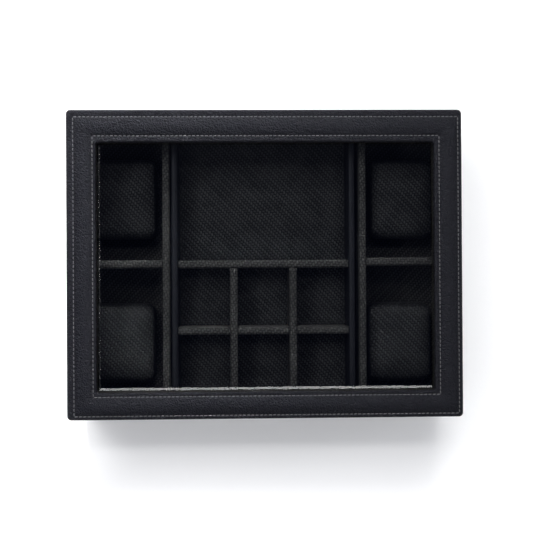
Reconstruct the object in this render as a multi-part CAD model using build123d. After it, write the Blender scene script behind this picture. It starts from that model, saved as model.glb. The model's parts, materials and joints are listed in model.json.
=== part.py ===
from build123d import *
import os

# Leather-covered watch box with a glazed, padded lid, a lift-out tray and four watch pillows.
# Millimetres. +Z is up, the front of the box faces -Y and the lid is hinged along the back.

# ---------------------------------------------------------------------------
# Driving dimensions
# ---------------------------------------------------------------------------
box_width = 305.0            # left to right, over the leather
box_depth = 238.0            # front to back, over the leather, without the hinge barrels
box_height = 85.0            # up to the crown of the padded border
leather = 1.0                # thickness of the cover leather
board = 6.0                  # thickness of the upright boards
lining = 2.2                 # fabric on card that lines the walls
corner_radius = 2.0          # outside upright corners of the leather
top_edge_radius = 1.8        # outside edges of the leather around the lid's top

# Base
felt_thickness = 2.2         # felt-faced board that the box rests on
felt_margin = 12.0           # leather turned in under the bottom, around the felt
leather_drop = 1.2           # height of the turned-in leather above the table
bottom_panel = 5.0
floor_lining_thickness = 3.8
parting_height = 63.0        # where lid and base meet
parting_gap = 0.3
lining_step = 1.0            # the wall lining ends this far below the parting line

# Compartments
partition_thickness = 6.0
partition_offset = 78.0      # middle of each partition from the middle of the box
divider_top = 60.0           # top of partitions, dividers and tray
side_divider_thickness = 6.5
left_divider_y = 0.5
right_divider_y = 1.6
edge_round = 1.5             # soft top edges of everything wrapped in fabric or leather

# Tray
tray_width = 146.0
tray_centre_x = -1.0         # it lies a little to the left in its bay
tray_end_gap = 1.0
tray_wall = 5.3
tray_lift = 0.1              # running gap under the tray
tray_floor_rise = 18.0       # the tray's floor stands this far above its lower edge
tray_floor_board = 3.0
tray_floor_pad = 2.0
tray_divider = 6.0
main_divider_thickness = 6.2
main_divider_y = 0.1
cell_divider_y = -52.8       # middle of the divider across the small cells
slot_height = 47.0           # where the half-lapped dividers meet

# Watch pillows
pillow_width = 52.0
pillow_length = 67.0
pillow_height = 34.0
pillow_round = 13.0          # front and back edges
pillow_end_round = 2.5
pillow_cover = 1.5
pillow_centres = {
    "back_left": (-112.9, 53.6),
    "back_right": (112.8, 52.9),
    "front_left": (-114.4, -63.5),
    "front_right": (110.8, -64.1),
}

# Lid
leather_flat_top = 84.2      # leather beside the padded border
top_board = 3.0              # mitred boards around the window
window_left = -129.8         # edges of the opening in the leather
window_right = 130.6
window_front = -97.6
window_back = 93.8
window_corner_radius = 2.5
pad_left = -139.4            # middle line of the padded border
pad_right = 141.7
pad_front = -108.4
pad_back = 105.7
pad_half_width = 7.3
pad_groove = 1.4             # the foam strip is let into the boards by this much
glass_thickness = 4.0
glass_overlap = 5.0          # how far the pane runs under the frame
bevel_width = 7.7
bevel_drop = 1.29
bead_depth = 4.0             # glazing bead below the pane
bead_reveal = 0.6            # bead set back from the leather's edge
glass_side_gap = 0.3

# Hinges
hinge_x = 92.0
hinge_length = 40.0
hinge_knuckles = 5
knuckle_gap = 0.15
barrel_radius = 2.5
pin_radius = 1.0
pin_clearance = 0.05
leaf_thickness = 1.5
leaf_reach = 6.2             # from the barrel's axis to the leaf's free edge
barrel_clearance = 0.3
screw_reach = 4.5            # from the barrel's axis to the row of screws
screw_spacing = 14.0
screw_head_radius = 1.6
screw_head_height = 1.0
screw_radius = 0.8
screw_length = 8.0
screw_slot_width = 0.5
screw_slot_depth = 0.5
pin_wall = 0.5               # the leaf's webs stop this far outside the pin

# ---------------------------------------------------------------------------
# Sizes worked out from them
# ---------------------------------------------------------------------------
half_width = box_width / 2
half_depth = box_depth / 2
# The barrels stand out at the back, so the whole box moves forward by half of that and the
# origin lies under the middle of the whole.
origin_shift = -barrel_radius / 2

wall_bottom = leather_drop + leather
base_top = parting_height - parting_gap / 2
wall_top = base_top - leather
floor_bottom = wall_bottom + bottom_panel
floor_top = floor_bottom + floor_lining_thickness
lining_top = parting_height - lining_step

lid_bottom = parting_height + parting_gap / 2
rail_bottom = lid_bottom + leather
frame_top = leather_flat_top - leather
frame_bottom = frame_top - top_board
glass_top = frame_bottom
glass_bottom = glass_top - glass_thickness
bead_bottom = glass_bottom - bead_depth
pad_rise = box_height - leather_flat_top

tray_bottom = floor_top + tray_lift
tray_floor_bottom = tray_bottom + tray_floor_rise
tray_floor_top = tray_floor_bottom + tray_floor_board
tray_pad_top = tray_floor_top + tray_floor_pad
tray_left = tray_centre_x - tray_width / 2
tray_right = tray_centre_x + tray_width / 2


def around(x, y):
    """A rectangle about the middle of the box, as (left, right, front, back)."""
    return (-x, x, -y, y)


def grown(rect, amount):
    """The rectangle with every side moved outwards."""
    left, right, front, back = rect
    return (left - amount, right + amount, front - amount, back + amount)


cover_rect = around(half_width, half_depth)
board_outer = grown(cover_rect, -leather)
board_inner = grown(board_outer, -board)
room = grown(board_inner, -lining)
window = (window_left, window_right, window_front, window_back)
board_window = grown(window, leather)
pane = grown(window, glass_overlap)
tray_outer = (tray_left, tray_right, room[2] + tray_end_gap, room[3] - tray_end_gap)
tray_inner = grown(tray_outer, -tray_wall)
pad_line = (pad_left, pad_right, pad_front, pad_back)


# ---------------------------------------------------------------------------
# Shapes used more than once
# ---------------------------------------------------------------------------
def slab(rect, bottom, top):
    """A box over a rectangle."""
    left, right, front, back = rect
    middle = Pos((left + right) / 2, (front + back) / 2, (bottom + top) / 2)
    return middle * Box(right - left, back - front, top - bottom)


def upright_edges(shape):
    return shape.edges().filter_by(Axis.Z)


def rounded_slab(rect, bottom, top, radius):
    """A box with round upright corners."""
    block = slab(rect, bottom, top)
    return fillet(upright_edges(block), radius)


def corners(rect):
    left, right, front, back = rect
    return [(left, front), (right, front), (right, back), (left, back)]


SIDES = ["front", "right", "back", "left"]


def mitred_side(outer, inner, bottom, top, side):
    """One side of a mitred frame between two rectangles."""
    i = SIDES.index(side)
    j = (i + 1) % 4
    points = [corners(outer)[i], corners(outer)[j], corners(inner)[j], corners(inner)[i]]
    face = make_face(Polyline(*points, close=True))
    return extrude(Pos(0, 0, bottom) * face, top - bottom)


def butted_side(outer, inner, bottom, top, side):
    """One board of a butt-jointed frame: front and back run the full width."""
    left, right, front, back = outer
    in_left, in_right, in_front, in_back = inner
    rects = {
        "front": (left, right, front, in_front),
        "back": (left, right, in_back, back),
        "left": (left, in_left, in_front, in_back),
        "right": (in_right, right, in_front, in_back),
    }
    return slab(rects[side], bottom, top)


def wrapped_board(rect, bottom, top):
    """A board wrapped in fabric or leather, with soft edges along its top."""
    block = slab(rect, bottom, top)
    long_axis = Axis.X if rect[1] - rect[0] > rect[3] - rect[2] else Axis.Y
    top_edges = block.edges().filter_by(long_axis).group_by(Axis.Z)[-1]
    return fillet(top_edges, edge_round)


def crown_ring(line, half, rise, bottom, depth):
    """A mitred ring along a rectangle's sides, with a crowned top on a square foot."""
    left, right, front, back = line
    width = right - left + 2 * half
    length = back - front + 2 * half
    runs = {
        "front": (Plane((left - half, front, bottom), x_dir=(0, 1, 0), z_dir=(1, 0, 0)), width),
        "back": (Plane((left - half, back, bottom), x_dir=(0, 1, 0), z_dir=(1, 0, 0)), width),
        "left": (Plane((left, front - half, bottom), x_dir=(-1, 0, 0), z_dir=(0, 1, 0)), length),
        "right": (Plane((right, front - half, bottom), x_dir=(-1, 0, 0), z_dir=(0, 1, 0)), length),
    }
    crown = ThreePointArc((-half, 0), (0, rise), (half, 0))
    foot = Polyline((half, 0), (half, -depth), (-half, -depth), (-half, 0))
    section = make_face(crown + foot)
    ring = None
    for side, (plane, run) in runs.items():
        bar = extrude(plane * section, run)
        piece = bar & mitred_side(grown(line, half), grown(line, -half), bottom - depth, bottom + rise, side)
        ring = piece if ring is None else ring + piece
    return ring


# ---------------------------------------------------------------------------
# Hinges
# ---------------------------------------------------------------------------
hinge_y = half_depth
knuckle_pitch = hinge_length / hinge_knuckles


def hinge_centres():
    return [-hinge_x, hinge_x]


def x_cylinder(radius, x0, x1):
    """A cylinder along the hinge axis."""
    middle = Pos((x0 + x1) / 2, hinge_y, parting_height)
    return middle * Rot(0, 90, 0) * Cylinder(radius, x1 - x0)


def hinge_leaf(centre_x, upwards):
    """A leaf with its knuckles: the base leaf has the odd ones, the lid leaf the even ones."""
    start = centre_x - hinge_length / 2
    if upwards:
        bottom = lid_bottom
        own = range(1, hinge_knuckles, 2)
    else:
        bottom = base_top - leaf_thickness
        own = range(0, hinge_knuckles, 2)
    top = bottom + leaf_thickness
    plate_back = hinge_y - barrel_radius - barrel_clearance - knuckle_gap
    leaf = slab((start, start + hinge_length, hinge_y - leaf_reach, plate_back), bottom, top)
    for k in own:
        x0 = start + k * knuckle_pitch + (knuckle_gap if k > 0 else 0)
        x1 = start + (k + 1) * knuckle_pitch - (knuckle_gap if k < hinge_knuckles - 1 else 0)
        leaf += slab((x0, x1, plate_back, hinge_y - pin_radius - pin_wall), bottom, top)
        leaf += x_cylinder(barrel_radius, x0, x1)
    leaf -= x_cylinder(pin_radius + pin_clearance, start, start + hinge_length)
    return leaf - hinge_screws(upwards)


def hinge_screws(upwards):
    """Six countersunk screws, three in each leaf on this side of the parting line."""
    sign = 1 if upwards else -1
    head_level = lid_bottom if upwards else base_top
    tip_level = head_level + sign * screw_length
    screws = []
    for centre_x in hinge_centres():
        for step in (-1, 0, 1):
            x = centre_x + step * screw_spacing
            y = hinge_y - screw_reach
            neck = head_level + sign * screw_head_height
            turn = Rot(0, 0, 0) if upwards else Rot(180, 0, 0)
            head_middle = Pos(x, y, (head_level + neck) / 2)
            head = head_middle * turn * Cone(screw_head_radius, screw_radius, screw_head_height)
            shank = Pos(x, y, (neck + tip_level) / 2) * Cylinder(screw_radius, abs(tip_level - neck))
            slot_rect = (x - screw_head_radius, x + screw_head_radius,
                         y - screw_slot_width / 2, y + screw_slot_width / 2)
            levels = sorted([head_level, head_level + sign * screw_slot_depth])
            screws.append(head + shank - slab(slot_rect, *levels))
    return Compound(children=screws)


def screw_room(upwards):
    """The space the screws take in wood and leather, slots filled."""
    sign = 1 if upwards else -1
    head_level = lid_bottom if upwards else base_top
    room_cut = []
    for centre_x in hinge_centres():
        for step in (-1, 0, 1):
            x = centre_x + step * screw_spacing
            levels = (head_level + head_level + sign * screw_length) / 2
            room_cut.append(Pos(x, hinge_y - screw_reach, levels) * Cylinder(screw_radius, screw_length))
    return room_cut


def cut_for_hinges(shape, upwards):
    """Takes the leaves, barrels and screws out of a board or the leather."""
    for centre_x in hinge_centres():
        x0 = centre_x - hinge_length / 2
        x1 = centre_x + hinge_length / 2
        if upwards:
            bottom, top = lid_bottom, lid_bottom + leaf_thickness
        else:
            bottom, top = base_top - leaf_thickness, base_top
        shape -= slab((x0, x1, hinge_y - leaf_reach, hinge_y), bottom, top)
        shape -= x_cylinder(barrel_radius + barrel_clearance, x0 - barrel_clearance, x1 + barrel_clearance)
    for hole in screw_room(upwards):
        shape -= hole
    return shape


def hinge_pins():
    pins = [x_cylinder(pin_radius, x - hinge_length / 2, x + hinge_length / 2)
            for x in hinge_centres()]
    return Compound(children=pins)


# ---------------------------------------------------------------------------
# Base
# ---------------------------------------------------------------------------
def base_leather_cover():
    """Leather over the outside, over the rim and turned in under the bottom."""
    cover = rounded_slab(cover_rect, leather_drop, base_top, corner_radius)
    cover -= slab(board_outer, wall_bottom, wall_top)
    cover -= slab(board_inner, wall_top, base_top)
    cover -= slab(grown(cover_rect, -felt_margin), leather_drop, wall_bottom)
    return cut_for_hinges(cover, False)


def base_wall(side):
    wall = butted_side(board_outer, board_inner, wall_bottom, wall_top, side)
    return cut_for_hinges(wall, False) if side == "back" else wall


def base_lining(side):
    return butted_side(board_inner, room, floor_bottom, lining_top, side)


def partition(side_sign):
    middle = side_sign * partition_offset
    half = partition_thickness / 2
    return wrapped_board((middle - half, middle + half, room[2], room[3]), floor_top, divider_top)


def side_divider(side_sign, y):
    inner = partition_offset + partition_thickness / 2
    x0, x1 = sorted([side_sign * inner, side_sign * room[1]])
    half = side_divider_thickness / 2
    return wrapped_board((x0, x1, y - half, y + half), floor_top, divider_top)


# ---------------------------------------------------------------------------
# Tray
# ---------------------------------------------------------------------------
cell_width = (tray_inner[1] - tray_inner[0] - 2 * tray_divider) / 3
long_divider_x = [tray_inner[0] + cell_width + tray_divider / 2,
                  tray_inner[1] - cell_width - tray_divider / 2]
main_divider_front = main_divider_y - main_divider_thickness / 2


def tray_wall_board(side):
    """Left and right walls run the full length, front and back fit between them."""
    left, right, front, back = tray_outer
    in_left, in_right, in_front, in_back = tray_inner
    rects = {
        "left": (left, in_left, front, back),
        "right": (in_right, right, front, back),
        "front": (in_left, in_right, front, in_front),
        "back": (in_left, in_right, in_back, back),
    }
    return wrapped_board(rects[side], tray_bottom, divider_top)


def tray_main_divider():
    rect = (tray_inner[0], tray_inner[1], main_divider_front,
            main_divider_y + main_divider_thickness / 2)
    return wrapped_board(rect, tray_pad_top, divider_top)


def crossing(x):
    """The block where a long divider crosses the cell divider."""
    half = tray_divider / 2
    return (x - half, x + half, cell_divider_y - half, cell_divider_y + half)


def tray_long_divider(x):
    """Runs from the main divider to the front wall, slotted from below."""
    half = tray_divider / 2
    rect = (x - half, x + half, tray_inner[2], main_divider_front)
    return wrapped_board(rect, tray_pad_top, divider_top) - slab(crossing(x), tray_pad_top, slot_height)


def tray_cell_divider():
    """Runs across the tray, slotted from above for both long dividers."""
    half = tray_divider / 2
    rect = (tray_inner[0], tray_inner[1], cell_divider_y - half, cell_divider_y + half)
    divider = wrapped_board(rect, tray_pad_top, divider_top)
    for x in long_divider_x:
        divider -= slab(crossing(x), slot_height, divider_top)
    return divider


# ---------------------------------------------------------------------------
# Watch pillows
# ---------------------------------------------------------------------------
def pillow_block(centre, inset):
    """A block with round front and back edges, that a watch strap closes around."""
    width = pillow_width - 2 * inset
    length = pillow_length - 2 * inset
    height = pillow_height - 2 * inset
    block = Box(width, length, height)
    block = fillet(block.edges().filter_by(Axis.X), pillow_round - inset)
    ends = block.faces().filter_by(Axis.X).edges()
    block = fillet(ends, pillow_end_round - inset)
    middle_z = floor_top + tray_lift + pillow_height / 2
    return Pos(centre[0], centre[1], middle_z) * block


# ---------------------------------------------------------------------------
# Lid
# ---------------------------------------------------------------------------
def lid_padding():
    """Foam strip that swells the leather between the two rows of stitches."""
    radius = (pad_half_width ** 2 + pad_rise ** 2) / (2 * pad_rise)
    inner_radius = radius - leather
    centre_z = box_height - radius
    half = (inner_radius ** 2 - (frame_top - centre_z) ** 2) ** 0.5
    return crown_ring(pad_line, half, centre_z + inner_radius - frame_top, frame_top, pad_groove)


def lid_leather_cover():
    """Leather over the sides and top, over the padding, into the window and under the rim."""
    cover = rounded_slab(cover_rect, lid_bottom, leather_flat_top, corner_radius)
    cover = fillet(cover.faces().sort_by(Axis.Z)[-1].edges(), top_edge_radius)
    cover += crown_ring(pad_line, pad_half_width, pad_rise, leather_flat_top, leather)
    cover -= slab(board_inner, lid_bottom, rail_bottom)
    cover -= slab(board_outer, rail_bottom, frame_bottom)
    frame_room = slab(board_outer, frame_bottom, frame_top)
    cover -= frame_room - slab(board_window, frame_bottom, frame_top)
    cover -= rounded_slab(window, frame_bottom, box_height, window_corner_radius)
    cover -= lid_padding()
    return cut_for_hinges(cover, True)


def lid_rail(side):
    rail = butted_side(board_outer, board_inner, rail_bottom, frame_bottom, side)
    return cut_for_hinges(rail, True) if side == "back" else rail


def lid_top_board(side):
    """Mitred board beside the window, grooved for the foam strip."""
    return mitred_side(board_outer, board_window, frame_bottom, frame_top, side) - lid_padding()


def window_glass():
    """Flat pane with a wide bevel around its top."""
    body = slab(pane, glass_bottom, glass_top - bevel_drop)
    flat = grown(pane, -bevel_width)
    lower = Pos(0, 0, glass_top - bevel_drop) * make_face(Polyline(*corners(pane), close=True))
    upper = Pos(0, 0, glass_top) * make_face(Polyline(*corners(flat), close=True))
    return body + loft([lower, upper])


def glass_gasket():
    """Soft wedge between the bevel and the boards above it."""
    ring = slab(pane, glass_top - bevel_drop, glass_top)
    ring -= slab(board_window, glass_top - bevel_drop, glass_top)
    return ring - window_glass()


def glazing_bead(side):
    """L-shaped strip that holds the pane up from below."""
    rebate = grown(pane, glass_side_gap)
    bead = mitred_side(board_inner, rebate, glass_bottom, glass_top, side)
    return bead + mitred_side(board_inner, grown(window, bead_reveal), bead_bottom, glass_bottom, side)


def lid_side_lining():
    return slab(board_inner, rail_bottom, bead_bottom) - slab(room, rail_bottom, bead_bottom)


# ---------------------------------------------------------------------------
# Every node and its shape
# ---------------------------------------------------------------------------
def build_nodes():
    nodes = {
        "base_leather_cover": base_leather_cover(),
        "base_bottom_panel": slab(board_inner, wall_bottom, floor_bottom),
        "base_floor_lining": slab(room, floor_bottom, floor_top),
        "underside_felt": slab(grown(cover_rect, -felt_margin), 0, felt_thickness),
        "left_partition": partition(-1),
        "right_partition": partition(1),
        "left_bay_divider": side_divider(-1, left_divider_y),
        "right_bay_divider": side_divider(1, right_divider_y),
        "hinge_pins": hinge_pins(),
        "base_hinge_screws": hinge_screws(False),
        "lid_hinge_screws": hinge_screws(True),
        "tray_floor_board": slab(tray_inner, tray_floor_bottom, tray_floor_top),
        "tray_floor_pad": slab(tray_inner, tray_floor_top, tray_pad_top),
        "tray_main_divider": tray_main_divider(),
        "tray_left_long_divider": tray_long_divider(long_divider_x[0]),
        "tray_right_long_divider": tray_long_divider(long_divider_x[1]),
        "tray_cell_divider": tray_cell_divider(),
        "lid_leather_cover": lid_leather_cover(),
        "lid_padding": lid_padding(),
        "window_glass": window_glass(),
        "glass_gasket": glass_gasket(),
        "lid_side_lining": lid_side_lining(),
    }
    for side in SIDES:
        nodes["base_" + side + "_wall"] = base_wall(side)
        nodes["base_" + side + "_lining"] = base_lining(side)
        nodes["tray_" + side + "_wall"] = tray_wall_board(side)
        nodes["lid_" + side + "_rail"] = lid_rail(side)
        nodes["lid_top_" + side] = lid_top_board(side)
        nodes["glazing_bead_" + side] = glazing_bead(side)
    for name, centre_x in zip(("left", "right"), hinge_centres()):
        nodes[name + "_hinge_base_leaf"] = hinge_leaf(centre_x, False)
        nodes[name + "_hinge_lid_leaf"] = hinge_leaf(centre_x, True)
    for name, centre in pillow_centres.items():
        outer = pillow_block(centre, 0)
        core = pillow_block(centre, pillow_cover)
        nodes["pillow_" + name + "_cover"] = outer - core
        nodes["pillow_" + name + "_core"] = core
    return nodes


os.makedirs("parts", exist_ok=True)
for name, shape in build_nodes().items():
    solids = [Pos(0, origin_shift, 0) * solid for solid in shape.solids()]
    export_step(Compound(children=solids), "parts/" + name + ".step")
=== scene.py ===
import json
import math

import bpy
import numpy as np
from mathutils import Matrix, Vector


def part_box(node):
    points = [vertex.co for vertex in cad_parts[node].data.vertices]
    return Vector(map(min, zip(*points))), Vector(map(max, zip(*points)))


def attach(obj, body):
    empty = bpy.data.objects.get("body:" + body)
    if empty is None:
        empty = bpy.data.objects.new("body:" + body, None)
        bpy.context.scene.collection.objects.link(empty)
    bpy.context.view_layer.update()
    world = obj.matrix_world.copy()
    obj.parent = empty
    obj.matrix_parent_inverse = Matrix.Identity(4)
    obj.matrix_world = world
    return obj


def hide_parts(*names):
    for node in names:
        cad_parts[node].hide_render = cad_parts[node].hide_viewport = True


# Leather-covered watch box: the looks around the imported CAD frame. Metres, in the frame's axes.

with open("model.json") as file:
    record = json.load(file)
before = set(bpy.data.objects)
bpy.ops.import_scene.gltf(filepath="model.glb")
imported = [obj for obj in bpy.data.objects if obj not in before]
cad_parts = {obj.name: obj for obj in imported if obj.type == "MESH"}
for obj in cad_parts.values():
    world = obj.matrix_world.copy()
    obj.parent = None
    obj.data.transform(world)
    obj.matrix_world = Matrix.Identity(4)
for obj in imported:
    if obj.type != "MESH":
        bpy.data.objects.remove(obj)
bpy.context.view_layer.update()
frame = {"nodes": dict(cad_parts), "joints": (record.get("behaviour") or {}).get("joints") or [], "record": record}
nodes = frame["nodes"]

MM = 0.001
SIDES = ("front", "right", "back", "left")
rng = np.random.default_rng(7)

# ---------------------------------------------------------------------------
# Sizes that the frame doesn't hold
# ---------------------------------------------------------------------------
leather_thickness = 1.0 * MM
glass_overlap = 5.0 * MM       # how far the pane runs under the leather
front_lip_cut = 0.8 * MM       # the window reaches this much further to the front
row_outset = 0.4 * MM          # the outer row of stitches lies this far outside the foam
row_gap = 14.6 * MM            # from the outer row of stitches to the inner one
stitch_pitch = 3.3 * MM
stitch_length = 2.3 * MM
stitch_depth = 0.42 * MM       # a stitch's ends lie this far under the leather's top
stitch_rise = 0.36 * MM        # and its middle comes up again by this much
thread_radius = 0.37 * MM
leather_corner = 3.1 * MM      # upright corners of lid and base
window_corner = 2.5 * MM
lining_corner = 1.4 * MM
weave_pitch = 1.8 * MM         # from one thread to the next
pillow_turns = {"back_left": 0.004, "back_right": -0.006,      # radians
                "front_left": -0.005, "front_right": 0.006}


# ---------------------------------------------------------------------------
# Rectangles, as (left, right, front, back)
# ---------------------------------------------------------------------------
def rect_of(node):
    low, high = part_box(node)
    return (low.x, high.x, low.y, high.y)


def grown(rect, amount):
    left, right, front, back = rect
    return (left - amount, right + amount, front - amount, back + amount)


def between(a, b, t):
    return tuple(p + (q - p) * t for p, q in zip(a, b))


lid_outer = rect_of("lid_leather_cover")
base_outer = rect_of("base_leather_cover")
window = grown(rect_of("window_glass"), -glass_overlap)
window = (window[0], window[1], window[2] - front_lip_cut, window[3])
outer_row = grown(rect_of("lid_padding"), row_outset)
inner_row = grown(outer_row, -row_gap)
lid_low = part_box("lid_leather_cover")[0]
base_low, base_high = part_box("base_leather_cover")
glass_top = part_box("window_glass")[1].z
leather_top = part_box("lid_top_front")[1].z + leather_thickness
hinge_axis = Vector(next(j["pos_m"] for j in frame["joints"] if j["name"] == "lid_hinge"))


# ---------------------------------------------------------------------------
# Materials
# ---------------------------------------------------------------------------
def math_node(tree, operation, *values):
    """A maths node; each value is a number or another node's output."""
    node = tree.nodes.new("ShaderNodeMath")
    node.operation = operation
    for socket, value in zip(node.inputs, values):
        if isinstance(value, (int, float)):
            socket.default_value = value
        else:
            tree.links.new(value, socket)
    return node.outputs[0]


def new_material(name, color, roughness, **settings):
    """A material with one Principled shader; settings go on its sockets."""
    material = bpy.data.materials.new(name)
    material.use_nodes = True
    tree = material.node_tree
    shader = tree.nodes["Principled BSDF"]
    shader.inputs["Base Color"].default_value = (*color, 1)
    shader.inputs["Roughness"].default_value = roughness
    for key, value in settings.items():
        shader.inputs[key.replace("_", " ")].default_value = value
    return material, tree, shader


def place(tree):
    """The place on the object, in metres."""
    return tree.nodes.new("ShaderNodeTexCoord").outputs["Object"]


def noise(tree, coordinates, scale, detail, roughness=0.5):
    node = tree.nodes.new("ShaderNodeTexNoise")
    node.inputs["Scale"].default_value = scale
    node.inputs["Detail"].default_value = detail
    node.inputs["Roughness"].default_value = roughness
    tree.links.new(coordinates, node.inputs["Vector"])
    return node.outputs["Fac"]


def cells(tree, coordinates, scale, feature="SMOOTH_F1"):
    node = tree.nodes.new("ShaderNodeTexVoronoi")
    node.feature = feature
    node.inputs["Scale"].default_value = scale
    tree.links.new(coordinates, node.inputs["Vector"])
    return node.outputs["Distance"]


def remap(tree, value, low, high, to_low, to_high):
    node = tree.nodes.new("ShaderNodeMapRange")
    limits = {"From Min": low, "From Max": high, "To Min": to_low, "To Max": to_high}
    for name, number in limits.items():
        node.inputs[name].default_value = number
    tree.links.new(value, node.inputs["Value"])
    return node.outputs["Result"]


def color_mix(tree, factor, color_a, color_b):
    node = tree.nodes.new("ShaderNodeMix")
    node.data_type = "RGBA"
    node.inputs["A"].default_value = (*color_a, 1)
    node.inputs["B"].default_value = (*color_b, 1)
    tree.links.new(factor, node.inputs["Factor"])
    return node.outputs["Result"]


def bump(tree, shader, height, distance):
    node = tree.nodes.new("ShaderNodeBump")
    node.inputs["Distance"].default_value = distance
    tree.links.new(height, node.inputs["Height"])
    tree.links.new(node.outputs["Normal"], shader.inputs["Normal"])


def pick(tree, switch, when_one, when_zero):
    """when_one where switch is 1, when_zero where it is 0."""
    difference = math_node(tree, "SUBTRACT", when_one, when_zero)
    return math_node(tree, "MULTIPLY_ADD", switch, difference, when_zero)


def flat_coordinates(tree):
    """Two coordinates in the surface: x and y on what lies flat, one of them and z on walls."""
    source = tree.nodes.new("ShaderNodeTexCoord")
    position = tree.nodes.new("ShaderNodeSeparateXYZ")
    normal = tree.nodes.new("ShaderNodeSeparateXYZ")
    tree.links.new(source.outputs["Object"], position.inputs[0])
    tree.links.new(source.outputs["Normal"], normal.inputs[0])
    x, y, z = position.outputs
    steepest_flat = 0.6
    level = math_node(tree, "GREATER_THAN", math_node(tree, "ABSOLUTE", normal.outputs["Z"]),
                      steepest_flat)
    sideways = math_node(tree, "GREATER_THAN", math_node(tree, "ABSOLUTE", normal.outputs["X"]),
                         math_node(tree, "ABSOLUTE", normal.outputs["Y"]))
    upright_u = pick(tree, sideways, y, x)
    return pick(tree, level, x, upright_u), pick(tree, level, y, z)


def twill(tree, u, v, pitch):
    """Height of a two-over-two twill from 0 to 1, and 1 where the lengthwise thread is on top."""
    a = math_node(tree, "DIVIDE", u, pitch)
    b = math_node(tree, "DIVIDE", v, pitch)
    a_cell = math_node(tree, "FLOOR", a)
    b_cell = math_node(tree, "FLOOR", b)
    repeat = 4.0
    place_in_repeat = math_node(tree, "FLOORED_MODULO", math_node(tree, "ADD", a_cell, b_cell),
                                repeat)
    upright = math_node(tree, "LESS_THAN", place_in_repeat, 1.5)

    def across(value):
        """Round section of a thread."""
        turn = math_node(tree, "MULTIPLY", math_node(tree, "FRACT", value), math.pi)
        return math_node(tree, "POWER", math_node(tree, "SINE", turn), 0.4)

    def along(value, start):
        """A thread rises from under its neighbour and dives again after two of them."""
        since = math_node(tree, "SUBTRACT", value, start)
        where = math_node(tree, "FLOORED_MODULO", since, repeat)
        turn = math_node(tree, "MULTIPLY", where, math.pi / 2)
        rise = math_node(tree, "MAXIMUM", math_node(tree, "SINE", turn), 0.0)
        return math_node(tree, "MULTIPLY_ADD", math_node(tree, "POWER", rise, 1.2), 0.9, 0.1)

    warp = math_node(tree, "MULTIPLY", across(a), along(math_node(tree, "ADD", a_cell, b), 0.0))
    weft = math_node(tree, "MULTIPLY", across(b), along(math_node(tree, "ADD", a, b_cell), 2.0))
    return pick(tree, upright, warp, weft), upright


def weave_material(name, pitch, lean, dark, light, depth, roughness, gloss):
    """Black twill, lighter on the threads' backs; lean -1 turns its diagonals the other way."""
    material, tree, shader = new_material(name, light, roughness, Specular_IOR_Level=gloss)
    u, v = flat_coordinates(tree)
    height, upright = twill(tree, math_node(tree, "MULTIPLY", u, lean), v, pitch)
    fibres = noise(tree, place(tree), scale=1100, detail=4, roughness=0.75)
    cloud = noise(tree, place(tree), scale=60, detail=3)
    worn = math_node(tree, "MULTIPLY", height, remap(tree, cloud, 0.3, 0.7, 0.7, 1.25))
    side = math_node(tree, "MULTIPLY", worn, math_node(tree, "MULTIPLY_ADD", upright, 0.3, 0.7))
    speckle = math_node(tree, "MULTIPLY", side, remap(tree, fibres, 0.3, 0.7, 0.45, 1.55))
    sharp = math_node(tree, "MULTIPLY", math_node(tree, "POWER", speckle, 1.2), 1.5)
    shade = math_node(tree, "MINIMUM", sharp, 1.0)
    tree.links.new(color_mix(tree, shade, dark, light), shader.inputs["Base Color"])
    relief = math_node(tree, "MULTIPLY_ADD", fibres, 0.22, side)
    bump(tree, shader, relief, depth)
    return material


def leather_material(name, color, roughness, gloss_level, cell, depth):
    """Fine-grained leather: small pebbles, creases between them and a slow change of gloss."""
    material, tree, shader = new_material(name, color, roughness, Specular_IOR_Level=gloss_level,
                                          Specular_Tint=(0.88, 0.9, 1.0, 1))
    where = place(tree)
    pebbles = cells(tree, where, 1 / cell)
    creases = cells(tree, where, 0.45 / cell, "DISTANCE_TO_EDGE")
    fine = noise(tree, where, scale=2.6 / cell, detail=3, roughness=0.6)
    wrinkles = noise(tree, where, scale=0.32 / cell, detail=2, roughness=0.55)
    cloud = noise(tree, where, scale=30, detail=3)
    grain = math_node(tree, "MULTIPLY_ADD", fine, 0.35, math_node(tree, "SUBTRACT", 1.0, pebbles))
    grain = math_node(tree, "MULTIPLY_ADD", math_node(tree, "MINIMUM", creases, 0.12), 2.2, grain)
    grain = math_node(tree, "MULTIPLY_ADD", wrinkles, 0.9, math_node(tree, "SUBTRACT", grain, 0.45))
    shade = remap(tree, grain, 0.5, 1.5, 0.0, 1.0)
    deep = tuple(c * 0.72 for c in color)
    high = tuple(c * 1.18 for c in color)
    tree.links.new(color_mix(tree, shade, deep, high), shader.inputs["Base Color"])
    gloss = math_node(tree, "MULTIPLY_ADD", cloud, 0.12, remap(tree, grain, 0.5, 1.5, 0.08, -0.1))
    tree.links.new(math_node(tree, "ADD", gloss, roughness - 0.06), shader.inputs["Roughness"])
    bump(tree, shader, grain, depth)
    return material


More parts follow.
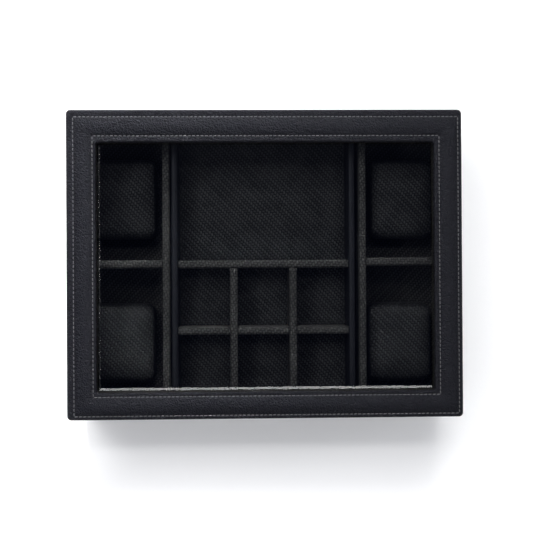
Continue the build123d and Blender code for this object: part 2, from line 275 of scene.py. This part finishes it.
def glass_material(name):
    """Clear glass: the front mirrors by its Fresnel share, and the rest goes straight through."""
    material = bpy.data.materials.new(name)
    material.use_nodes = True
    tree = material.node_tree
    tree.nodes.remove(tree.nodes["Principled BSDF"])
    surface = tree.nodes.new("ShaderNodeNewGeometry")
    clear = tree.nodes.new("ShaderNodeBsdfTransparent")
    clear.inputs["Color"].default_value = (0.965, 0.97, 0.97, 1)
    mirror = tree.nodes.new("ShaderNodeBsdfGlossy")
    mirror.inputs["Roughness"].default_value = 0.07
    tree.links.new(surface.outputs["True Normal"], mirror.inputs["Normal"])
    share = tree.nodes.new("ShaderNodeFresnel")
    share.inputs["IOR"].default_value = 1.5
    front_only = math_node(tree, "SUBTRACT", 1.0, surface.outputs["Backfacing"])
    mix = tree.nodes.new("ShaderNodeMixShader")
    tree.links.new(math_node(tree, "MULTIPLY", share.outputs[0], front_only), mix.inputs[0])
    tree.links.new(clear.outputs[0], mix.inputs[1])
    tree.links.new(mirror.outputs[0], mix.inputs[2])
    tree.links.new(mix.outputs[0], tree.nodes["Material Output"].inputs["Surface"])
    return material


def speckled_material(name, color, spread, roughness, scale, depth, **settings):
    """Felt, foam, fibreboard or rubber: a colour broken up by fibres or pores."""
    material, tree, shader = new_material(name, color, roughness, **settings)
    grain = noise(tree, place(tree), scale, detail=4, roughness=0.75)
    low = tuple(c * (1 - spread) for c in color)
    high = tuple(min(1.0, c * (1 + spread)) for c in color)
    shade = remap(tree, grain, 0.3, 0.7, 0, 1)
    tree.links.new(color_mix(tree, shade, low, high), shader.inputs["Base Color"])
    bump(tree, shader, grain, depth)
    return material


def metal_material(name):
    """Nickel plate, brushed along the hinge."""
    material, tree, shader = new_material(name, (0.55, 0.55, 0.56), 0.3, Metallic=1.0)
    stretch = tree.nodes.new("ShaderNodeMapping")
    stretch.inputs["Scale"].default_value = (40, 2600, 2600)
    tree.links.new(place(tree), stretch.inputs["Vector"])
    lines = noise(tree, stretch.outputs[0], scale=1, detail=3, roughness=0.6)
    tree.links.new(remap(tree, lines, 0.3, 0.7, 0.24, 0.42), shader.inputs["Roughness"])
    bump(tree, shader, lines, 0.00002)
    return material


def thread_material(name):
    """Waxed thread: fine ridges, lighter than the leather."""
    valley, ridge = (0.05, 0.05, 0.055), (0.11, 0.11, 0.115)
    material, tree, shader = new_material(name, valley, 0.5)
    strands = noise(tree, place(tree), scale=5200, detail=2)
    shade = remap(tree, strands, 0.3, 0.7, 0, 1)
    tree.links.new(color_mix(tree, shade, valley, ridge), shader.inputs["Base Color"])
    bump(tree, shader, strands, 0.0001)
    return material


twill_relief = dict(pitch=weave_pitch, depth=0.0003, roughness=0.6)
lit_divider_gap = (0.0008, 0.0008, 0.001)        # between the threads of partitions and dividers; lighter than on floors and pillows, as painted light on the boards' tops
shaded_deep_gap = (0.0004, 0.0004, 0.0005)        # between those of floors and pillows; darker, as painted shade deep in the box
materials = {
    "cover_leather": leather_material("cover_leather", (0.0021, 0.0022, 0.0040), roughness=0.5,
                                      gloss_level=0.165, cell=1.2 * MM, depth=0.0007),
    "tray_leather": leather_material("tray_leather", (0.0035, 0.0037, 0.005), roughness=0.5,
                                     gloss_level=0.1, cell=0.8 * MM, depth=0.00005),
    # Painted light: the divider weave's colours are lighter than the floor and pillow weave's because the board
    # tops catch the light; it is the same black twill
    "weave_fabric": weave_material("weave_fabric", lean=-1.0, dark=lit_divider_gap,
                                   light=(0.031, 0.031, 0.0305), gloss=0.05, **twill_relief),
    # Painted shade: the floor and pillow weave's colours are darker because floors and pillows lie deep in the box
    # in shade; it is the same black twill as the dividers
    "floor_weave": weave_material("floor_weave", lean=1.0, dark=shaded_deep_gap,
                                  light=(0.022, 0.0225, 0.0235), gloss=0.02, **twill_relief),
    "pillow_fabric": weave_material("pillow_fabric", lean=1.0, dark=shaded_deep_gap,
                                    light=(0.0215, 0.022, 0.023), gloss=0.02, **twill_relief),
    "felt": speckled_material("felt", (0.02, 0.02, 0.021), spread=0.5, roughness=0.95,
                              scale=1800, depth=0.0003, Sheen_Weight=0.4),
    "foam": speckled_material("foam", (0.06, 0.06, 0.065), spread=0.4, roughness=0.95,
                              scale=1500, depth=0.0004),
    "fibreboard": speckled_material("fibreboard", (0.42, 0.3, 0.19), spread=0.22, roughness=0.85,
                                    scale=900, depth=0.0001),
    "soft_rubber": speckled_material("soft_rubber", (0.015, 0.015, 0.016), spread=0.3,
                                     roughness=0.7, scale=1200, depth=0.00005),
    "hinge_metal": metal_material("hinge_metal"),
    "clear_glass": glass_material("clear_glass"),
    "thread": thread_material("thread"),
}


def paint_cad_nodes():
    """Every CAD node that stays gets its slot's material."""
    slots = {part["node"]: part["material_slot"] for part in frame["record"]["subparts"]}
    for name, node in nodes.items():
        node.data.materials.clear()
        node.data.materials.append(materials[slots[name]])


paint_cad_nodes()


# ---------------------------------------------------------------------------
# Mesh helpers
# ---------------------------------------------------------------------------
def new_piece(name, points, faces, material, body):
    """A mesh in the frame's own coordinates, riding on a body."""
    mesh = bpy.data.meshes.new(name)
    mesh.from_pydata([tuple(p) for p in points], [], faces)
    mesh.validate()
    mesh.materials.append(materials[material])
    mesh.polygons.foreach_set("use_smooth", [True] * len(mesh.polygons))
    piece = bpy.data.objects.new(name, mesh)
    bpy.context.scene.collection.objects.link(piece)
    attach(piece, body)
    return piece


def ring(rect, radius, z, per_x, per_y):
    """Points round a rectangle with round corners, counted the same for every rectangle."""
    per_corner = 4
    left, right, front, back = rect
    centres = [(right - radius, front + radius), (right - radius, back - radius),
               (left + radius, back - radius), (left + radius, front + radius)]
    points = []
    for side in range(4):
        cx, cy = centres[side]
        start = side * math.pi / 2 - math.pi / 2
        for k in range(per_corner + 1):
            angle = start + k * math.pi / 2 / per_corner
            points.append((cx + radius * math.cos(angle), cy + radius * math.sin(angle), z))
        here = points[-1]
        angle = start + math.pi / 2
        nx, ny = centres[(side + 1) % 4]
        there = (nx + radius * math.cos(angle), ny + radius * math.sin(angle))
        count = per_y if side % 2 == 0 else per_x
        for k in range(1, count):
            t = k / count
            points.append((*between(here[:2], there, t), z))
    return points


def loft(rings):
    """Points and quads through rings of equal length, each closed on itself."""
    count = len(rings[0])
    points = [p for r in rings for p in r]
    faces = []
    for i in range(len(rings) - 1):
        for k in range(count):
            n = (k + 1) % count
            faces.append((i * count + k, i * count + n, (i + 1) * count + n, (i + 1) * count + k))
    return np.array(points), faces


def arc_steps(count):
    """Angles from 0 to a right angle."""
    return [math.pi / 2 * k / count for k in range(count + 1)]


# ---------------------------------------------------------------------------
# Leather
# ---------------------------------------------------------------------------
row_floor = leather_top - 3 * MM     # the stitches pull only on what lies above this


def row_sides(row):
    """The four straight runs of a row of stitches, as (start, end)."""
    left, right, front, back = row
    return [((left, front), (right, front)), ((right, front), (right, back)),
            ((right, back), (left, back)), ((left, back), (left, front))]


def press_rows(points, rows, width, depth):
    """Pulls the leather down along the stitches, deepest where the needle went through."""
    for row in rows:
        pull = np.zeros(len(points))
        for (x0, y0), (x1, y1) in row_sides(row):
            length = math.hypot(x1 - x0, y1 - y0)
            along_x, along_y = (x1 - x0) / length, (y1 - y0) / length
            along = (points[:, 0] - x0) * along_x + (points[:, 1] - y0) * along_y
            across = (points[:, 0] - x0) * along_y - (points[:, 1] - y0) * along_x
            step = length / round(length / stitch_pitch)
            needle = 0.6 + 0.4 * np.cos(2 * math.pi * along / step)
            inside = (along > -width) & (along < length + width)
            pull = np.maximum(pull, inside * needle * np.exp(-(across / width) ** 2))
        points[:, 2] -= depth * pull * (points[:, 2] > row_floor)
    return points


def clear_hinges(points, body):
    """Sinks the leather around the hinge leaves and barrels."""
    barrel_room = 2.85 * MM
    leaf_room = 1.55 * MM
    side_room = 0.3 * MM
    for side in ("left", "right"):
        leaf_low, leaf_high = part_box(side + "_hinge_" + body + "_leaf")
        near = (points[:, 0] > leaf_low.x - side_room) & (points[:, 0] < leaf_high.x + side_room)
        under_leaf = near & (points[:, 1] > leaf_low.y)
        if body == "lid":
            sunk = under_leaf & (points[:, 2] < lid_low.z + leaf_room)
            points[sunk, 2] = lid_low.z + leaf_room
        else:
            sunk = under_leaf & (points[:, 2] > base_high.z - leaf_room)
            points[sunk, 2] = base_high.z - leaf_room
        dy = points[:, 1] - hinge_axis.y
        dz = points[:, 2] - hinge_axis.z
        reach = np.hypot(dy, dz)
        close = near & (reach < barrel_room) & (reach > 0)
        scale = barrel_room / reach[close]
        points[close, 1] = hinge_axis.y + dy[close] * scale
        points[close, 2] = hinge_axis.z + dz[close] * scale
    return points


def lid_leather():
    """The lid's leather: into the window, padded between the stitches, over the edge and in."""
    per_x, per_y = 264, 204
    lip = 1.3 * MM               # round edge of the window
    edge = 2.1 * MM              # round outer edge
    bottom_round = 0.7 * MM
    swell = 1.5 * MM             # the padded border's crown over the flat leather
    dip = 0.1 * MM               # the leather sinks this much towards its stitches
    rings = []

    def add(rect, radius, z):
        rings.append(ring(rect, radius, z, per_x, per_y))

    for z in (glass_top + 0.02 * MM, glass_top + 1.2 * MM):
        add(window, window_corner, z)
    for angle in arc_steps(5):
        add(grown(window, lip * (1 - math.cos(angle))), window_corner,
            leather_top - lip * (1 - math.sin(angle)))
    flat = grown(window, lip)
    for k in range(1, 9):
        t = k / 8
        add(between(flat, inner_row, t), window_corner, leather_top - dip * t * t)
    for k in range(1, 30):
        t = k / 30
        crown = math.sin(math.pi * t) ** 0.9
        add(between(inner_row, outer_row, t), 2.2 * MM, leather_top + swell * crown)
    shoulder = grown(lid_outer, -edge)
    for k in range(5):
        t = k / 5
        add(between(outer_row, shoulder, t), leather_corner, leather_top - dip * (1 - t))
    for angle in arc_steps(7):
        add(grown(shoulder, edge * math.sin(angle)), leather_corner,
            leather_top - edge * (1 - math.cos(angle)))
    side_top = leather_top - edge
    side_bottom = lid_low.z + bottom_round
    for k in range(1, 9):
        add(lid_outer, leather_corner, side_top + (side_bottom - side_top) * k / 8)
    for angle in arc_steps(4)[1:]:
        add(grown(lid_outer, -bottom_round * (1 - math.cos(angle))), leather_corner - 0.2 * MM,
            side_bottom - bottom_round * math.sin(angle))
    inner = rect_of("lid_side_lining")
    for k in range(1, 7):
        add(between(grown(lid_outer, -bottom_round), inner, k / 6), lining_corner, lid_low.z)
    add(inner, lining_corner, lid_low.z + leather_thickness)
    points, faces = loft(rings)
    points = press_rows(points, (outer_row, inner_row), width=0.75 * MM, depth=0.55 * MM)
    points = clear_hinges(points, "lid")
    piece = new_piece("lid_leather", points, [f[::-1] for f in faces], "cover_leather", "lid")
    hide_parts("lid_leather_cover")


def base_leather():
    """Leather of the base: over the rim, down the sides and in under the bottom."""
    per_x, per_y = 200, 156
    rim_round = 0.9 * MM
    foot_round = 1.2 * MM
    rings = []

    def add(rect, radius, z):
        rings.append(ring(rect, radius, z, per_x, per_y))

    inner = rect_of("lid_side_lining")
    shoulder = grown(base_outer, -rim_round)
    add(inner, lining_corner, base_high.z - leather_thickness)
    for k in range(7):
        add(between(inner, shoulder, k / 6), 1.6 * MM, base_high.z)
    for angle in arc_steps(5)[1:]:
        add(grown(shoulder, rim_round * math.sin(angle)), leather_corner,
            base_high.z - rim_round * (1 - math.cos(angle)))
    side_top = base_high.z - rim_round
    side_bottom = base_low.z + foot_round
    for k in range(1, 25):
        add(base_outer, leather_corner, side_top + (side_bottom - side_top) * k / 24)
    for angle in arc_steps(5)[1:]:
        add(grown(base_outer, -foot_round * (1 - math.cos(angle))), leather_corner - 0.2 * MM,
            side_bottom - foot_round * math.sin(angle))
    foot = rect_of("underside_felt")
    for k in range(1, 5):
        add(between(grown(base_outer, -foot_round), foot, k / 4), 1.5 * MM, base_low.z)
    points, faces = loft(rings)
    points = clear_hinges(points, "base")
    piece = new_piece("base_leather", points, [f[::-1] for f in faces], "cover_leather", "base")
    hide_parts("base_leather_cover")


# ---------------------------------------------------------------------------
# Stitches
# ---------------------------------------------------------------------------
def capsule(start, end):
    """A short length of thread that dives into the leather at both ends."""
    turns, steps = 6, 5
    start, end = np.array(start), np.array(end)
    direction = (end - start) / np.linalg.norm(end - start)
    across = np.cross(direction, (0, 0, 1))
    across /= np.linalg.norm(across)
    up = np.cross(across, direction)
    points = []
    for k in range(steps + 1):
        t = k / steps
        lift = stitch_rise * (1 - (2 * t - 1) ** 2)
        taper = 0.55 + 0.45 * math.sin(math.pi * min(max(t, 0.08), 0.92)) ** 0.5
        thick = thread_radius * taper
        centre = start + (end - start) * t + up * lift
        for j in range(turns):
            angle = 2 * math.pi * j / turns
            points.append(centre + thick * (across * math.cos(angle) + up * math.sin(angle)))
    faces = []
    for k in range(steps):
        for j in range(turns):
            n = (j + 1) % turns
            faces.append((k * turns + j, k * turns + n, (k + 1) * turns + n, (k + 1) * turns + j))
    faces.append(tuple(range(turns)))
    faces.append(tuple(steps * turns + j for j in reversed(range(turns))))
    return points, faces


def stitch_row(name, row, body, z):
    """One row of stitches round the lid, each set at a slight slant."""
    points, faces = [], []
    slant = math.radians(4)
    for (x0, y0), (x1, y1) in row_sides(row):
        length = math.hypot(x1 - x0, y1 - y0)
        ux, uy = (x1 - x0) / length, (y1 - y0) / length
        count = round(length / stitch_pitch)
        step = length / count
        for k in range(count):
            centre = (k + 0.5) * step + rng.normal(0, 0.05 * MM)
            half = stitch_length / 2 * (1 + rng.normal(0, 0.03))
            turn = slant + rng.normal(0, 0.02)
            dx = ux * math.cos(turn) - uy * math.sin(turn)
            dy = uy * math.cos(turn) + ux * math.sin(turn)
            cx, cy = x0 + ux * centre, y0 + uy * centre
            a = (cx - dx * half, cy - dy * half, z - stitch_depth)
            b = (cx + dx * half, cy + dy * half, z - stitch_depth)
            more, quads = capsule(a, b)
            offset = len(points)
            points += more
            faces += [tuple(i + offset for i in f) for f in quads]
    piece = new_piece(name, points, faces, "thread", body)


# ---------------------------------------------------------------------------
# Boards wrapped in fabric or leather
# ---------------------------------------------------------------------------
def wrapped_board(name, low, high, material, body):
    """An upright board between two corners of a box, with round top edges and a slight waviness."""
    lengthwise = 0 if high[0] - low[0] > high[1] - low[1] else 1
    crosswise = 1 - lengthwise
    half = (high[crosswise] - low[crosswise]) / 2
    centre = (high[crosswise] + low[crosswise]) / 2
    soft = min(1.9 * MM, half * 0.7)
    crown = 0.12 * MM
    top = high[2]
    straight = top - soft - low[2]
    right_half = [(half, low[2] + straight * k / 6) for k in range(6)]
    right_half += [(half - soft * (1 - math.cos(a)), top - soft * (1 - math.sin(a)) - crown)
                   for a in arc_steps(5)]
    section = [(-across, z) for across, z in right_half] + [(0.0, top)] + right_half[::-1]
    start, end = low[lengthwise], high[lengthwise]
    count = max(4, round((end - start) / (3 * MM)))
    phase = rng.uniform(0, 6.28, 3)
    slow, quick = 170, 410       # radians per metre
    rings = []
    for k in range(count + 1):
        where = start + (end - start) * k / count
        wave = (0.10 * MM * math.sin(where * slow + phase[0])
                + 0.06 * MM * math.sin(where * quick + phase[1]))
        points = []
        for across, z in section:
            up = max(0.0, (z - low[2]) / (top - low[2]))
            shift = wave * up * (1 - abs(across) / half * 0.5)
            point = [0.0, 0.0, z - abs(wave) * 0.5 * up]
            point[lengthwise] = where
            point[crosswise] = centre + across * (1 - 0.03 * up) + shift * 0.5
            points.append(point)
        rings.append(points)
    points, faces = loft(rings)
    count = len(section)
    faces.append(tuple(reversed(range(count))))
    faces.append(tuple(range((len(rings) - 1) * count, len(rings) * count)))
    if lengthwise == 0:
        faces = [f[::-1] for f in faces]
    return new_piece(name, points, faces, material, body)


def divider_boards():
    """Every divider and tray wall; the crossing divider comes in lengths between the long ones."""
    in_base = ("left_partition", "right_partition", "left_bay_divider", "right_bay_divider")
    in_tray = ("tray_main_divider", "tray_left_long_divider", "tray_right_long_divider")
    plans = [(node, "weave_fabric", "base") for node in in_base]
    plans += [(node, "weave_fabric", "tray") for node in in_tray]
    plans += [("tray_" + side + "_wall", "tray_leather", "tray") for side in SIDES]
    for node, material, body in plans:
        low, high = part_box(node)
        piece = wrapped_board(node + "_wrapped", low, high, material, body)
        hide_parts(node)
    low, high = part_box("tray_cell_divider")
    left_long, right_long = rect_of("tray_left_long_divider"), rect_of("tray_right_long_divider")
    spans = [(low.x, left_long[0]), (left_long[1], right_long[0]), (right_long[1], high.x)]
    for number, (start, end) in enumerate(spans):
        piece = wrapped_board("tray_cell_divider_%d" % number, (start, low.y, low.z),
                              (end, high.y, high.z), "weave_fabric", "tray")
        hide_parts("tray_cell_divider")


# ---------------------------------------------------------------------------
# Floor pads of the tray
# ---------------------------------------------------------------------------
def tray_floor_cloth():
    """Fabric over a thin pad: each compartment's floor swells a little between the boards."""
    pad = rect_of("tray_floor_pad")
    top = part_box("tray_floor_pad")[1].z
    main = rect_of("tray_main_divider")
    cross = rect_of("tray_cell_divider")
    long_left = rect_of("tray_left_long_divider")
    long_right = rect_of("tray_right_long_divider")
    columns = [(pad[0], long_left[0]), (long_left[1], long_right[0]), (long_right[1], pad[1])]
    floors = [(pad[0], pad[1], main[3], pad[3])]
    floors += [(x0, x1, cross[3], main[2]) for x0, x1 in columns]
    floors += [(x0, x1, pad[2], cross[2]) for x0, x1 in columns]
    grid = 2.5 * MM
    thick = 1.1 * MM
    unevenness = 0.12 * MM
    points, faces = [], []
    for left, right, front, back in floors:
        across = max(8, round((right - left) / grid))
        along = max(8, round((back - front) / grid))
        offset = len(points)
        phase = rng.uniform(0, 6.28, 4)
        for j in range(along + 1):
            for i in range(across + 1):
                u, v = 2 * i / across - 1, 2 * j / along - 1
                swell = (1 - abs(u) ** 6) * (1 - abs(v) ** 6)
                x = left + (right - left) * i / across
                y = front + (back - front) * j / along
                wave = math.sin(x * 90 + phase[0]) * math.sin(y * 70 + phase[1])
                z = top - thick + (thick + unevenness * wave) * swell ** 0.5
                points.append((x, y, z))
        row = across + 1
        for j in range(along):
            for i in range(across):
                a = offset + j * row + i
                faces.append((a, a + 1, a + row + 1, a + row))
    piece = new_piece("tray_floor_cloth", points, faces, "floor_weave", "tray")
    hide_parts("tray_floor_pad")


# ---------------------------------------------------------------------------
# Watch pillows
# ---------------------------------------------------------------------------
def pillow_form(width, length, height):
    """A block with round edges along x, as points and faces."""
    round_over = 11 * MM
    end_round = 2 * MM
    steps = 8
    section = []
    for corner, (sy, sz) in enumerate(((1, 1), (-1, 1), (-1, -1), (1, -1))):
        for k in range(steps + 1):
            angle = corner * math.pi / 2 + k * math.pi / 2 / steps
            y = sy * (length / 2 - round_over) + round_over * math.cos(angle)
            z = sz * (height / 2 - round_over) + round_over * math.sin(angle)
            section.append((y, z))
    rings = []
    end = 1 - 2 * end_round / length
    for x, shrink in ((-width / 2, end), (-width / 2 + end_round, 1), (-width / 4, 1), (0, 1),
                      (width / 4, 1), (width / 2 - end_round, 1), (width / 2, end)):
        rings.append([(x, y * shrink, z * shrink) for y, z in section])
    points, faces = loft(rings)
    count = len(section)
    faces.append(tuple(range(count)))
    faces.append(tuple((len(rings) - 1) * count + k for k in reversed(range(count))))
    return points, faces


def simulate(piece, cap):
    """Blows the cover up against its seams and keeps every point within cap of where it began."""
    scene = bpy.context.scene
    last_frame = 20
    before = np.empty(len(piece.data.vertices) * 3)
    piece.data.vertices.foreach_get("co", before)
    cloth = piece.modifiers.new("cloth", "CLOTH")
    cloth.settings.quality = 6
    cloth.settings.mass = 0.2
    cloth.settings.tension_stiffness = 18
    cloth.settings.compression_stiffness = 18
    cloth.settings.bending_stiffness = 2.0
    cloth.settings.use_pressure = True
    cloth.settings.uniform_pressure_force = 4
    cloth.settings.effector_weights.gravity = 0
    cloth.point_cache.frame_start = 1
    cloth.point_cache.frame_end = last_frame
    for step in range(1, last_frame + 1):
        scene.frame_set(step)
    evaluated = piece.evaluated_get(bpy.context.evaluated_depsgraph_get())
    after = np.empty(len(piece.data.vertices) * 3)
    evaluated.data.vertices.foreach_get("co", after)
    piece.modifiers.remove(cloth)
    scene.frame_set(1)
    moved = (after - before).reshape(-1, 3)
    far = np.linalg.norm(moved, axis=1, keepdims=True)
    moved *= np.minimum(1, cap / np.maximum(far, 1e-9))
    piece.data.vertices.foreach_set("co", (before.reshape(-1, 3) + moved).ravel())
    piece.data.update()


def apply_modifiers(piece):
    """Replaces the piece's mesh by what its modifiers make of it."""
    evaluated = piece.evaluated_get(bpy.context.evaluated_depsgraph_get())
    mesh = bpy.data.meshes.new_from_object(evaluated)
    piece.modifiers.clear()
    piece.data = mesh
    mesh.polygons.foreach_set("use_smooth", [True] * len(mesh.polygons))


def pillow(quarter, turn):
    """A stuffed pillow in its bay, a little askew."""
    node = "pillow_" + quarter + "_cover"
    low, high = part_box(node)
    size = high - low
    inset = 1.2 * MM             # room for the cloth to swell
    seam_inset = 4.0 * MM
    seam_width = 0.9 * MM
    seam_depth = 0.5 * MM
    points, faces = pillow_form(size.x - 2 * inset, size.y - 2 * inset, size.z - 2 * inset)
    piece = new_piece("pillow_" + quarter, points, faces, "pillow_fabric", "pillow_" + quarter)
    remesh = piece.modifiers.new("remesh", "REMESH")
    remesh.mode = "VOXEL"
    remesh.voxel_size = 4 * MM
    apply_modifiers(piece)
    simulate(piece, cap=2.5 * MM)
    smooth = piece.modifiers.new("smooth", "SUBSURF")
    smooth.levels = smooth.render_levels = 1
    apply_modifiers(piece)
    coordinates = np.empty(len(piece.data.vertices) * 3)
    piece.data.vertices.foreach_get("co", coordinates)
    x, y, z = coordinates.reshape(-1, 3).T
    for sign in (-1, 1):
        seam_x = sign * (size.x / 2 - seam_inset)
        pull = seam_depth * np.exp(-((x - seam_x) / seam_width) ** 2)
        shrink = 1 - pull / np.maximum(np.hypot(y, z), 1e-6)
        y = y * shrink
        z = z * shrink
    cos_turn, sin_turn = math.cos(turn), math.sin(turn)
    co = np.column_stack((x * cos_turn - y * sin_turn, x * sin_turn + y * cos_turn, z))
    co *= (np.array(size) / np.ptp(co, axis=0)).clip(0.9, 1.0)
    co += np.array((low + high) / 2) - (co.max(0) + co.min(0)) / 2
    piece.data.vertices.foreach_set("co", co.ravel())
    piece.data.update()
    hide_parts(node, "pillow_" + quarter + "_core")


lid_leather()
base_leather()
stitch_row("outer_stitches", outer_row, "lid", leather_top)
stitch_row("inner_stitches", inner_row, "lid", leather_top)
divider_boards()
tray_floor_cloth()
for quarter, turn in pillow_turns.items():
    pillow(quarter, turn)


# ---------------------------------------------------------------------------
# Floor, lights and camera
# ---------------------------------------------------------------------------
lamp_target = (0, 0, 0.05)


def stage_floor():
    """A plain white table that glows very slightly, so that its shadows stay soft."""
    material = new_material("floor_white", (0.9, 0.9, 0.9), 0.6, Emission_Color=(1, 1, 1, 1),
                            Emission_Strength=0.05)[0]
    half = 1.5
    corners = [(-half, -half, 0), (half, -half, 0), (half, half, 0), (-half, half, 0)]
    mesh = bpy.data.meshes.new("stage_floor")
    mesh.from_pydata(corners, [], [(0, 1, 2, 3)])
    mesh.materials.append(material)
    floor = bpy.data.objects.new("stage_floor", mesh)
    bpy.context.scene.collection.objects.link(floor)


def soft_light(name, place_at, size, power, aim=lamp_target, spread=180):
    """A rectangular lamp; a spread under 180 degrees is a honeycomb grid over it."""
    lamp = bpy.data.lights.new(name, "AREA")
    lamp.shape = "RECTANGLE"
    lamp.size, lamp.size_y = size
    lamp.energy = power
    lamp.spread = math.radians(spread)
    holder = bpy.data.objects.new(name, lamp)
    holder.location = place_at
    look = Vector(aim) - Vector(place_at)
    holder.rotation_euler = look.to_track_quat("-Z", "Y").to_euler()
    bpy.context.scene.collection.objects.link(holder)


def over_table(tilt, heading):
    """A place over the table: degrees down from overhead, and degrees round from +x."""
    reach = 1.25
    down, turn = math.radians(tilt), math.radians(heading)
    out = reach * math.sin(down)
    return (out * math.cos(turn), out * math.sin(turn), lamp_target[2] + reach * math.cos(down))


def studio_lights():
    """Light mostly from behind and the left; one strip in front draws the pane's bright bevel."""
    near_back_left = (-0.13, 0.08, 0.06)
    soft_light("back_steep", over_table(18, 90), size=(1.2, 0.12), power=4.2)
    soft_light("back_high", over_table(37, 90), size=(1.2, 0.14), power=5)
    soft_light("back_low", over_table(60, 90), size=(1.2, 0.3), power=0.9, spread=30)
    soft_light("back_corner", over_table(60, 95), size=(0.35, 0.3), power=0.65,
               aim=near_back_left, spread=20)
    soft_light("back_left", over_table(37, 135), size=(0.4, 0.25), power=6)
    soft_light("left", over_table(35, 180), size=(1.0, 0.12), power=4.3)
    soft_light("right", over_table(60, 0), size=(1.0, 0.3), power=3.3)
    soft_light("front_low", over_table(58, -90), size=(1.2, 0.3), power=1.2)
    soft_light("front_strip", (0, -0.56, 1.02), size=(1.1, 0.07), power=2.1, aim=(0, -0.1, 0.08))


def studio_world():
    """A pale room: grey near the horizon and dark overhead, and plain pale grey behind the box."""
    horizon, overhead = (0.35, 0.35, 0.35), (0.012, 0.02, 0.06)
    world = bpy.data.worlds.new("studio")
    world.use_nodes = True
    tree = world.node_tree
    source = tree.nodes.new("ShaderNodeTexCoord")
    split = tree.nodes.new("ShaderNodeSeparateXYZ")
    tree.links.new(source.outputs["Generated"], split.inputs[0])
    path = tree.nodes.new("ShaderNodeLightPath")
    climb = remap(tree, split.outputs["Z"], 0.1, 0.8, 0.0, 1.0)
    backdrop = tree.nodes.new("ShaderNodeMix")
    backdrop.data_type = "RGBA"
    backdrop.inputs["B"].default_value = (0.9, 0.9, 0.9, 1)
    tree.links.new(path.outputs["Is Camera Ray"], backdrop.inputs["Factor"])
    tree.links.new(color_mix(tree, climb, horizon, overhead), backdrop.inputs["A"])
    tree.links.new(backdrop.outputs["Result"], tree.nodes["Background"].inputs["Color"])
    bpy.context.scene.world = world


def camera():
    """Almost straight overhead, a little to the left of the box's middle."""
    tilt, lean, roll = 0.31, -1.808, -0.333
    data = bpy.data.cameras.new("camera")
    data.lens = 65.87
    data.sensor_width = 36
    holder = bpy.data.objects.new("camera", data)
    holder.location = (-0.0230, -0.00715, 0.8334)
    holder.rotation_euler = tuple(math.radians(v) for v in (tilt, lean, roll))
    bpy.context.scene.collection.objects.link(holder)
    bpy.context.scene.camera = holder


stage_floor()
studio_lights()
studio_world()
camera()
bpy.context.scene.view_settings.view_transform = "Standard"
